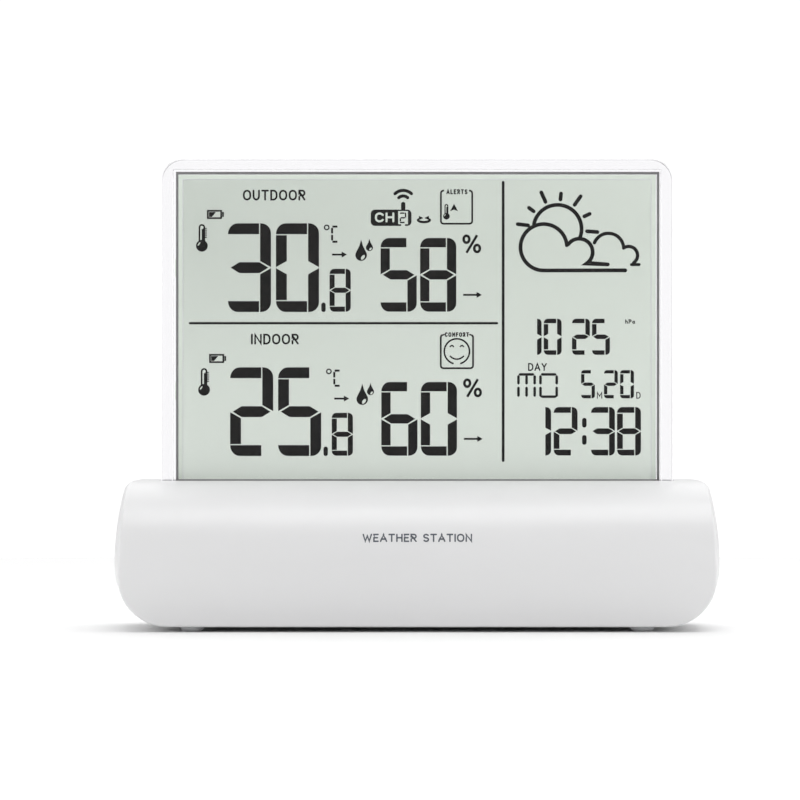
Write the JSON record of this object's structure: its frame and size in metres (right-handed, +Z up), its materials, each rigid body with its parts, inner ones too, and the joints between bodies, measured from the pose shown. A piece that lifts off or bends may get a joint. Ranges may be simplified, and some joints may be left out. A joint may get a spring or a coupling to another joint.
{
  "type": "desktop weather station display",
  "caption": "Desktop weather station display: a clear upright panel with an LCD, held in a rounded white base with keys behind it and a battery bay.",
  "frame": {"origin": "on the surface the station stands on, under the middle of its box", "axes": "+X to the right of a viewer who faces the display, +Y to the back, +Z up"},
  "size_m": [0.18, 0.054, 0.1393],
  "materials": {
    "white_plastic": "white moulded ABS with a soft gloss",
    "white_key": "off-white moulded plastic, satin",
    "clear_plastic": "clear polished acrylic",
    "display_glass": "thin display glass",
    "display_film": "grey-green polarising film, matt on one side",
    "seal": "cured adhesive bead",
    "gasket": "black foam strip",
    "rubber": "grey silicone rubber",
    "black_plastic": "black moulded plastic",
    "circuit_board": "green solder mask",
    "steel": "bright plated steel",
    "cell_label": "printed cell sleeve",
    "wire_red": "red wire cover",
    "wire_black": "black wire cover",
    "ribbon": "grey flat cable"
  },
  "bodies": {
    "station": {"antenna_wire": "wire_black", "backlight_board": "circuit_board", "backlight_led_1": "white_key", "backlight_led_2": "white_key", "backlight_led_3": "white_key", "battery_cell_1": "cell_label", "battery_cell_2": "cell_label", "battery_cell_3": "cell_label", "battery_wire_black": "wire_black", "battery_wire_red": "wire_red", "buzzer": "black_plastic", "clamp_screw_left": "steel", "clamp_screw_right": "steel", "clear_tray": "clear_plastic", "climate_sensor": "white_key", "controller_blob": "black_plastic", "crystal": "steel", "dc_jack": "black_plastic", "edge_gasket": "gasket", "end_seal_lower": "seal", "end_seal_upper": "seal", "foot_front_left": "rubber", "foot_front_right": "rubber", "foot_rear_left": "rubber", "foot_rear_right": "rubber", "front_polariser": "display_film", "front_shell": "white_plastic", "front_window": "clear_plastic", "housing_screw_lower_left": "steel", "housing_screw_lower_right": "steel", "housing_screw_upper_left": "steel", "housing_screw_upper_right": "steel", "key_board": "circuit_board", "key_mat": "rubber", "key_ribbon": "ribbon", "lcd_front_glass": "display_glass", "lcd_rear_glass": "display_glass", "lcd_seal": "seal", "left_bridge_contact": "steel", "light_guide": "clear_plastic", "main_board": "circuit_board", "negative_contact": "steel", "panel_clamp": "white_plastic", "positive_contact": "steel", "pressure_sensor": "steel", "rear_polariser": "display_film", "rear_shell": "white_plastic", "receiver_board": "circuit_board", "right_bridge_contact": "steel", "sensor_board": "circuit_board", "zebra_strip": "rubber"},
    "light_bar": {"light_bar": "white_key"},
    "set_key": {"set_key": "white_key"},
    "alert_key": {"alert_key": "white_key"},
    "channel_key": {"channel_key": "white_key"},
    "memory_key": {"memory_key": "white_key"},
    "minus_key": {"minus_key": "white_key"},
    "plus_key": {"plus_key": "white_key"},
    "battery_door": {"battery_door": "white_plastic"}
  },
  "joints": [
    {"name": "light_bar_press", "type": "slide", "parent": "station", "child": "light_bar", "axis": [0, 0, -1], "range_m": [0, 0.0008], "stiffness_N_per_m": 600, "springref_m": -0.001},
    {"name": "set_key_press", "type": "slide", "parent": "station", "child": "set_key", "axis": [0, 0, -1], "range_m": [0, 0.0008], "stiffness_N_per_m": 400, "springref_m": -0.001},
    {"name": "alert_key_press", "type": "slide", "parent": "station", "child": "alert_key", "axis": [0, 0, -1], "range_m": [0, 0.0008], "stiffness_N_per_m": 400, "springref_m": -0.001},
    {"name": "channel_key_press", "type": "slide", "parent": "station", "child": "channel_key", "axis": [0, 0, -1], "range_m": [0, 0.0008], "stiffness_N_per_m": 400, "springref_m": -0.001},
    {"name": "memory_key_press", "type": "slide", "parent": "station", "child": "memory_key", "axis": [0, 0, -1], "range_m": [0, 0.0008], "stiffness_N_per_m": 400, "springref_m": -0.001},
    {"name": "minus_key_press", "type": "slide", "parent": "station", "child": "minus_key", "axis": [0, 0, -1], "range_m": [0, 0.0008], "stiffness_N_per_m": 400, "springref_m": -0.001},
    {"name": "plus_key_press", "type": "slide", "parent": "station", "child": "plus_key", "axis": [0, 0, -1], "range_m": [0, 0.0008], "stiffness_N_per_m": 400, "springref_m": -0.001},
    {"name": "battery_door_tilt", "type": "hinge", "parent": "station", "child": "battery_door", "pos_m": [0, 0.027, 0.0042], "axis": [-1, 0, 0], "range_deg": [0, 60]}
  ]
}
